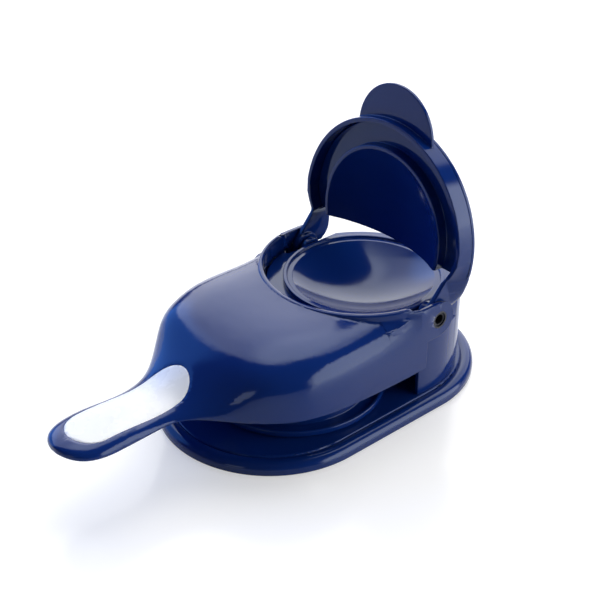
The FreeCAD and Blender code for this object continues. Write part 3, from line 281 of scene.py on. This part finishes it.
def surface(name, colours, cloud_scale, haze, roughness, grain, relief):
    """A material with clouded colour, uneven gloss and a fine relief.
    Haze and grain are the noises of the gloss and of the relief; relief is its strength and depth."""
    material, tree, shader, place = node_tree(name)
    clouds = noise(tree, place, cloud_scale)
    tree.links.new(blend_colours(tree, clouds, *colours), shader.inputs["Base Color"])
    tree.links.new(spread(tree, noise(tree, place, *haze), *roughness), shader.inputs["Roughness"])
    return material, tree, shader, bump(tree, shader, noise(tree, place, *grain), *relief)


def polished_navy():
    """High-gloss moulded plastic with faint sink ripples, handling haze and edges that catch the light."""
    finish = look()
    material, tree, shader, ripples = surface(
        "polished_navy", (finish.navy, finish.navy_deep), cloud_scale=22.0, haze=(60.0, 5.0, 0.6),
        roughness=(finish.gloss * 0.75, finish.gloss * 1.35), grain=(90.0, 2.0), relief=(0.05, 0.2 * MM))
    shader.inputs["IOR"].default_value = 1.42
    shader.inputs["Specular Tint"].default_value = finish.sheen_tint
    rounded = tree.nodes.new("ShaderNodeBevel")
    rounded.samples = 6
    rounded.inputs["Radius"].default_value = finish.edge_radius
    tree.links.new(rounded.outputs["Normal"], ripples.inputs["Normal"])
    return material


def satin_white():
    """Smooth white plastic that lets a little light in."""
    finish = look()
    material, tree, shader, grain = surface(
        "satin_white", (finish.inlay, scaled(finish.inlay, 0.965)), cloud_scale=40.0, haze=(120.0,),
        roughness=(0.22, 0.32), grain=(900.0,), relief=(0.04, 0.05 * MM))
    shader.inputs["IOR"].default_value = 1.5
    shader.inputs["Subsurface Weight"].default_value = 0.15
    shader.inputs["Subsurface Radius"].default_value = (2 * MM, 2 * MM, 2 * MM)
    shader.inputs["Subsurface Scale"].default_value = 1.0
    return material


def dark_plastic():
    """Slightly matt near-black plastic of the pins and carriers, a painted shade that stands in for the dark ear
    holes and the dark space under the shell.
    """
    shade_black = look().shade_black
    return surface(
        "dark_plastic", (shade_black, scaled(shade_black, 1.8)), cloud_scale=80.0, haze=(300.0,),
        roughness=(0.35, 0.5), grain=(1500.0,), relief=(0.15, 0.04 * MM))[0]


def bright_steel():
    """Bright screws with fine wear."""
    steel = look().steel
    material, tree, shader, grain = surface(
        "bright_steel", (steel, scaled(steel, 0.8)), cloud_scale=500.0, haze=(900.0,),
        roughness=(0.2, 0.34), grain=(2500.0,), relief=(0.1, 0.02 * MM))
    shader.inputs["Metallic"].default_value = 1.0
    return material


def soft_rubber():
    """Dusty rubber of the feet."""
    rubber = look().rubber
    return surface(
        "soft_rubber", (rubber, scaled(rubber, 1.7)), cloud_scale=150.0, haze=(400.0,),
        roughness=(0.65, 0.85), grain=(1200.0,), relief=(0.3, 0.06 * MM))[0]


FINISHES = {}
SLOT_FINISH = {"blue_shell": "polished_navy", "white_inlay": "satin_white", "dark_plastic": "dark_plastic",
               "steel": "bright_steel", "rubber": "soft_rubber"}


def node_slot(node):
    """The material slot that the record gives a node."""
    return next(part["material_slot"] for part in frame["record"]["subparts"] if part["node"] == node)


def body_of_node(node):
    """The moving body that carries a node."""
    return next(body for body, nodes in frame["record"]["behaviour"]["bodies"].items() if node in nodes)


def deselect():
    """Leave edit mode and select nothing."""
    if bpy.context.mode != "OBJECT":
        bpy.ops.object.mode_set(mode="OBJECT")
    bpy.ops.object.select_all(action="DESELECT")


def only(piece):
    """Select one object alone and make it active."""
    deselect()
    piece.select_set(True)
    bpy.context.view_layer.objects.active = piece


def apply_modifiers(piece):
    """Apply a piece's modifiers in order."""
    only(piece)
    for modifier in list(piece.modifiers):
        bpy.ops.object.modifier_apply(modifier=modifier.name)


def soften(piece, radius):
    """Round the corners of a piece and let its flat faces lead its shading."""
    if radius:
        edge = piece.modifiers.new("rounded_edges", "BEVEL")
        edge.width = radius
        edge.segments = 3
        edge.limit_method = "ANGLE"
        edge.angle_limit = look().corner_angle
        edge.use_clamp_overlap = False
        edge.miter_outer = "MITER_ARC"
        apply_modifiers(piece)
    bpy.ops.object.shade_smooth_by_angle(angle=look().smooth_angle)
    lead = piece.modifiers.new("flat_lead", "WEIGHTED_NORMAL")
    lead.keep_sharp = True
    lead.weight = 80
    apply_modifiers(piece)


def skin_of(node, radius):
    """A welded copy of a node with rounded corners, which stands for it."""
    only(frame["nodes"][node])
    bpy.ops.object.duplicate()
    piece = bpy.context.view_layer.objects.active
    piece.name = node + "_skin"
    piece.data.name = piece.name
    bpy.ops.object.mode_set(mode="EDIT")
    bpy.ops.mesh.select_all(action="SELECT")
    bpy.ops.mesh.remove_doubles(threshold=look().weld)
    bpy.ops.object.mode_set(mode="OBJECT")
    soften(piece, radius)
    return piece


def turned(name, outline, centre=(0, 0)):
    """A closed round piece about an upright axis, from its outline as radius and height.
    It starts as a small disc and is drawn out ring by ring to a small disc again."""
    deselect()
    radius, height = outline[0]
    bpy.ops.mesh.primitive_circle_add(vertices=TURN_POINTS, radius=radius, fill_type="NGON",
                                      location=(centre[0], centre[1], height))
    piece = bpy.context.view_layer.objects.active
    piece.name = name
    piece.data.name = name
    bpy.ops.object.mode_set(mode="EDIT")
    bpy.ops.mesh.select_all(action="SELECT")
    for next_radius, next_height in outline[1:]:
        bpy.ops.mesh.extrude_region_move(TRANSFORM_OT_translate={"value": (0, 0, next_height - height)})
        grow = next_radius / radius
        bpy.ops.transform.resize(value=(grow, grow, 1), center_override=(centre[0], centre[1], next_height))
        radius, height = next_radius, next_height
    bpy.ops.mesh.select_all(action="SELECT")
    bpy.ops.mesh.normals_make_consistent(inside=False)
    bpy.ops.object.mode_set(mode="OBJECT")
    bpy.ops.object.transform_apply(location=True, rotation=True, scale=True)
    return piece


def arc(centre_height, ball, first, last):
    """Points on a round hollow, from one radius to another; the ball may lie above or below."""
    side = -1 if ball > 0 else 1
    points = []
    for i in range(ARC_STEPS + 1):
        radius = first + (last - first) * i / ARC_STEPS
        points.append((radius, centre_height + side * math.sqrt(ball * ball - radius * radius)))
    return points


def dress(piece, finish, body, replaces=None):
    """Give a piece its finish in its material slot and its body, and hide the node that it stands for."""
    piece.data.materials.clear()
    piece.data.materials.append(FINISHES[finish])
    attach(piece, body)
    if replaces:
        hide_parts(replaces)


class PRESS_OT_finishes(bpy.types.Operator):
    """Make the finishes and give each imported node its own"""
    bl_idname = "press.finishes"
    bl_label = "Finishes"

    def execute(self, context):
        for make in (polished_navy, satin_white, dark_plastic, bright_steel, soft_rubber):
            FINISHES[make.__name__] = make()
        for node, thing in frame["nodes"].items():
            finish = FINISHES[SLOT_FINISH[node_slot(node)]]
            thing.data.materials.clear()
            thing.data.materials.append(finish)
        return {"FINISHED"}


# Rounding of each skin's corners, as a share of the edge radius.
SKIN_SHARES = {"base_plate": 0.35, "tower_housing": 1.0, "dough_anvil": 0.8, "lever_shell": 0.0,
               "handle_under_cover": 0.0, "grip_inlay": 0.0, "lid_frame": 1.0,
               "lid_back_cover": 1.2, "hinge_pins": 0.5}


class PRESS_OT_skins(bpy.types.Operator):
    """Give the moulded parts skins with rounded edges"""
    bl_idname = "press.skins"
    bl_label = "Moulded skins"

    def execute(self, context):
        for node, share in SKIN_SHARES.items():
            piece = skin_of(node, share * look().edge_radius)
            dress(piece, SLOT_FINISH[node_slot(node)], body_of_node(node), node)
        return {"FINISHED"}


class PRESS_OT_base_bead(bpy.types.Operator):
    """Sweep the fat rounded bead round the base"""
    bl_idname = "press.base_bead"
    bl_label = "Base bead"

    def execute(self, context):
        sizes = context.scene.press_base
        rear = TOWER_X + sizes.rear
        half = sizes.bead_width / 2
        middle = Vector((rear, -(sizes.radius - sizes.bead_inset - half), sizes.bead_middle))
        deselect()
        bpy.ops.mesh.primitive_circle_add(vertices=BEAD_POINTS, radius=half, fill_type="NOTHING",
                                          location=middle, rotation=(math.radians(90), 0, math.radians(90)))
        bead = context.view_layer.objects.active
        bead.name = bead.data.name = "base_bead"
        bpy.ops.object.transform_apply(location=True, rotation=True, scale=True)
        for side, share in ((1, sizes.bead_rise / half), (-1, sizes.bead_drop / half)):
            bpy.ops.object.mode_set(mode="EDIT")
            bpy.ops.mesh.select_mode(type="VERT")
            bpy.ops.mesh.select_all(action="DESELECT")
            bpy.ops.object.mode_set(mode="OBJECT")
            for point in bead.data.vertices:
                point.select = (point.co.z - middle.z) * side > look().weld
            bpy.ops.object.mode_set(mode="EDIT")
            bpy.ops.transform.resize(value=(1, 1, share), center_override=middle)
            bpy.ops.object.mode_set(mode="OBJECT")
        bpy.ops.object.mode_set(mode="EDIT")
        bpy.ops.mesh.select_all(action="SELECT")
        for centre, along in ((rear, -sizes.span), (rear - sizes.span, sizes.span)):
            bpy.ops.mesh.spin(
                steps=BEAD_STEPS, angle=math.radians(-180), center=(centre, 0, 0), axis=(0, 0, 1))
            bpy.ops.mesh.extrude_region_move(TRANSFORM_OT_translate={"value": (along, 0, 0)})
        bpy.ops.mesh.select_all(action="SELECT")
        bpy.ops.mesh.remove_doubles(threshold=5 * look().weld)
        bpy.ops.mesh.normals_make_consistent(inside=False)
        bpy.ops.object.mode_set(mode="OBJECT")
        soften(bead, 0)
        dress(bead, "polished_navy", "base")
        return {"FINISHED"}


class PRESS_OT_tray(bpy.types.Operator):
    """Turn the mould tray with its ring, seat and dish"""
    bl_idname = "press.tray"
    bl_label = "Mould tray"

    def execute(self, context):
        ring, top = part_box("mould_tray")[1][1:]
        sizes = context.scene.press_tray
        seat, foot = top - sizes.lip_height, top - sizes.ring_height
        ball = (sizes.dish_radius ** 2 + sizes.dish_depth ** 2) / (2 * sizes.dish_depth)
        middle = seat - sizes.dish_depth + ball
        under = ball + sizes.dish_wall
        edge = math.sqrt(under ** 2 - (foot - middle) ** 2)
        outline = arc(middle, under, CORE, edge)
        inside = ring - sizes.ring_width
        outline += [(ring, foot), (ring, top), (inside, top), (inside, seat)]
        outline += arc(middle, ball, sizes.dish_radius, CORE)
        tray = turned("mould_tray_form", outline, (TOWER_X, 0))
        soften(tray, look().edge_radius)
        dress(tray, "polished_navy", "base", "mould_tray")
        return {"FINISHED"}


class PRESS_OT_plunger(bpy.types.Operator):
    """Turn the plunger with its face, its flange with an upturned lip, and its drum"""
    bl_idname = "press.plunger"
    bl_label = "Plunger"

    def execute(self, context):
        low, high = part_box("press_plunger")
        sizes = context.scene.press_plunger
        flange = high[1]
        centre = ((low[0] + high[0]) / 2, 0)
        step = low[2] + sizes.face_height
        plate = step + sizes.flange_thickness
        lip, inside = flange - sizes.lip_width, sizes.drum_radius - sizes.drum_wall
        outline = [(CORE, low[2]), (sizes.face_radius, low[2]), (sizes.face_radius, step), (flange, step),
                   (flange, plate + sizes.lip_height), (lip, plate + sizes.lip_height), (lip, plate),
                   (sizes.drum_radius, plate), (sizes.drum_radius, high[2]),
                   (inside, high[2]), (inside, plate), (CORE, plate)]
        plunger = turned("press_plunger_form", outline, centre)
        soften(plunger, sizes.rounding)
        dress(plunger, "polished_navy", "lever", "press_plunger")
        return {"FINISHED"}


def set_in_lid(piece):
    """Carry a piece from the lid's own upright frame to the leaning lid."""
    turn = Matrix.Rotation(math.radians(90) + bpy.context.scene.press_lid.lean, 4, "Y")
    sizes = bpy.context.scene.press_lid
    piece.matrix_world = Matrix.Translation(HINGE - turn @ Vector((sizes.rise, 0, -sizes.back))) @ turn
    only(piece)
    bpy.ops.object.transform_apply(location=True, rotation=True, scale=True)


class PRESS_OT_lid_mould(bpy.types.Operator):
    """Turn the lid's flange and bowl, and cut them off at the knee"""
    bl_idname = "press.lid_mould"
    bl_label = "Lid mould"

    def execute(self, context):
        sizes = context.scene.press_lid
        ball = (sizes.bowl_radius ** 2 + sizes.bowl_depth ** 2) / (2 * sizes.bowl_depth)
        middle = sizes.bowl_rim + sizes.bowl_depth - ball
        outer = sizes.bowl_radius + sizes.bowl_wall
        under = ball + sizes.bowl_wall
        meet = math.sqrt(under ** 2 - (sizes.flange_rear - middle) ** 2)
        outline = arc(middle, -under, CORE, meet)
        outline += [(sizes.flange_radius, sizes.flange_rear), (sizes.flange_radius, sizes.flange_front),
                    (outer, sizes.flange_front), (outer, sizes.bowl_rim), (sizes.bowl_radius, sizes.bowl_rim)]
        outline += arc(middle, -ball, sizes.bowl_radius - sizes.rounding / 4, CORE)
        mould = turned("lid_mould_form", outline)
        bpy.ops.object.mode_set(mode="EDIT")
        bpy.ops.mesh.select_all(action="SELECT")
        bpy.ops.mesh.bisect(plane_co=(sizes.knee, 0, 0), plane_no=(1, 0, 0), use_fill=True, clear_outer=True)
        bpy.ops.object.mode_set(mode="OBJECT")
        set_in_lid(mould)
        soften(mould, sizes.rounding)
        dress(mould, "polished_navy", "lid", "lid_mould")
        return {"FINISHED"}


def area_lamp(name, at, towards, size, power):
    """A white rectangular lamp turned towards a place."""
    data = bpy.data.lights.new(name, "AREA")
    data.shape = "RECTANGLE"
    data.size, data.size_y = size
    data.energy = power
    lamp = bpy.data.objects.new(name, data)
    bpy.context.collection.objects.link(lamp)
    lamp.location = at
    lamp.rotation_mode = "QUATERNION"
    lamp.rotation_quaternion = (Vector(towards) - Vector(at)).to_track_quat("-Z", "Y")


def floor_finish():
    """White glossy sheet that stays white to the camera but keeps shadows."""
    material, tree, shader, place = node_tree("studio_floor")
    shader.inputs["Base Color"].default_value = studio().floor
    shader.inputs["Roughness"].default_value = 0.16
    shader.inputs["IOR"].default_value = 1.4
    shader.inputs["Emission Color"].default_value = (1, 1, 1, 1)
    path = tree.nodes.new("ShaderNodeLightPath").outputs
    seen = combined(tree, "MULTIPLY", path["Is Camera Ray"], studio().floor_lift)
    mirrored = combined(tree, "MULTIPLY", path["Is Glossy Ray"], studio().floor_lift_mirrored)
    tree.links.new(combined(tree, "ADD", seen, mirrored), shader.inputs["Emission Strength"])
    return material


def facing(tree, towards, edge, full, low, high):
    """A level that goes from low to high as the direction turns towards a place."""
    turned_to = tree.nodes.new("ShaderNodeVectorMath")
    turned_to.operation = "DOT_PRODUCT"
    turned_to.inputs[1].default_value = Vector(towards).normalized()
    tree.links.new(tree.nodes["Texture Coordinate"].outputs["Generated"], turned_to.inputs[0])
    level = tree.nodes.new("ShaderNodeMapRange")
    level.interpolation_type = "SMOOTHERSTEP"
    level.inputs["From Min"].default_value = edge
    level.inputs["From Max"].default_value = full
    level.inputs["To Min"].default_value = low
    level.inputs["To Max"].default_value = high
    tree.links.new(turned_to.outputs["Value"], level.inputs["Value"])
    return level.outputs["Result"]


def combined(tree, operation, first, second):
    """A sum, difference or product of two levels or numbers."""
    node = tree.nodes.new("ShaderNodeMath")
    node.operation = operation
    for socket, value in zip(node.inputs, (first, second)):
        if isinstance(value, float):
            socket.default_value = value
        else:
            tree.links.new(value, socket)
    return node.outputs["Value"]


def surroundings(world):
    """A room with bright screens behind the press, dark towards the camera, and white in the picture."""
    world.use_nodes = True
    tree = world.node_tree
    plain = tree.nodes["Background"]
    tree.nodes.new("ShaderNodeTexCoord")
    seen = tree.nodes.new("ShaderNodeLightPath").outputs["Is Camera Ray"]
    level = studio().room_level
    for _name, towards, edge, full, bright in SCREENS:
        level = combined(tree, "ADD", facing(tree, towards, edge, full, 0.0, bright), level)
    choice = tree.nodes.new("ShaderNodeMix")
    choice.data_type = "FLOAT"
    choice.inputs["B"].default_value = 1.0
    tree.links.new(level, choice.inputs["A"])
    tree.links.new(seen, choice.inputs["Factor"])
    tree.links.new(choice.outputs["Result"], plain.inputs["Strength"])
    plain.inputs["Color"].default_value = (1, 1, 1, 1)

    tinted = tree.nodes.new("ShaderNodeBackground")
    tinted.inputs["Color"].default_value = studio().tint
    _name, towards, edge, full, bright = TINTED_SCREEN
    hidden = combined(tree, "SUBTRACT", 1.0, seen)
    tree.links.new(combined(tree, "MULTIPLY", facing(tree, towards, edge, full, 0.0, bright), hidden),
                   tinted.inputs["Strength"])
    both = tree.nodes.new("ShaderNodeAddShader")
    tree.links.new(plain.outputs["Background"], both.inputs[0])
    tree.links.new(tinted.outputs["Background"], both.inputs[1])
    tree.links.new(both.outputs["Shader"], tree.nodes["World Output"].inputs["Surface"])


class PRESS_OT_stage(bpy.types.Operator):
    """Set the floor, the lamps, the surroundings and the camera"""
    bl_idname = "press.stage"
    bl_label = "Studio"

    def execute(self, context):
        deselect()
        half = studio().floor_half
        bpy.ops.mesh.primitive_plane_add(size=2 * half, location=(0, 0, 0))
        floor = context.view_layer.objects.active
        floor.name = "floor"
        floor.data.materials.append(floor_finish())

        world = bpy.data.worlds.new("studio")
        context.scene.world = world
        surroundings(world)
        for name, direction, size, level in SOFTBOXES:
            at = Vector(direction).normalized() * studio().lamp_distance
            area_lamp(name, at, LAMP_TARGET, size, level * math.pi * size[0] * size[1])

        camera_data = bpy.data.cameras.new("camera")
        camera = bpy.data.objects.new("camera", camera_data)
        context.collection.objects.link(camera)
        camera_data.lens = studio().lens
        camera_data.sensor_width = 36.0
        camera_data.clip_start, camera_data.clip_end = 0.01, 50
        turn, rise = CAMERA_TURN, CAMERA_RISE
        back = Vector((math.sin(turn) * math.cos(rise), -math.cos(turn) * math.cos(rise), math.sin(rise)))
        right = Vector((math.cos(turn), math.sin(turn), 0))
        up = back.cross(right)
        camera.matrix_world = Matrix.Translation(Vector((TOWER_X, 0, 0)) + CAMERA_FROM_TOWER) @ Matrix(
            (right, up, back)).transposed().to_4x4()
        context.scene.camera = camera
        context.scene.view_settings.view_transform = "Standard"
        return {"FINISHED"}


STEPS = (PRESS_OT_finishes, PRESS_OT_skins, PRESS_OT_base_bead, PRESS_OT_tray, PRESS_OT_plunger,
         PRESS_OT_lid_mould, PRESS_OT_stage)
GROUPS = {"press_finish": PressFinish, "press_base": PressBase, "press_tray": PressTray,
          "press_plunger": PressPlunger, "press_lid": PressLid, "press_studio": PressStudio}


class PRESS_PT_panel(bpy.types.Panel):
    """Lists the steps that build the press"""
    bl_idname = "PRESS_PT_panel"
    bl_label = "Empanada Press"
    bl_space_type = "VIEW_3D"
    bl_region_type = "UI"
    bl_category = "Press"

    def draw(self, context):
        for step in STEPS:
            self.layout.operator(step.bl_idname)


CLASSES = tuple(GROUPS.values()) + STEPS + (PRESS_PT_panel,)


def register():
    for cls in CLASSES:
        bpy.utils.register_class(cls)
    for name, group in GROUPS.items():
        setattr(bpy.types.Scene, name, bpy.props.PointerProperty(type=group))


def unregister():
    for name in GROUPS:
        delattr(bpy.types.Scene, name)
    for cls in reversed(CLASSES):
        bpy.utils.unregister_class(cls)


def main():
    register()
    for step in STEPS:
        group, name = step.bl_idname.split(".")
        getattr(getattr(bpy.ops, group), name)()


if __name__ == "__main__":
    main()
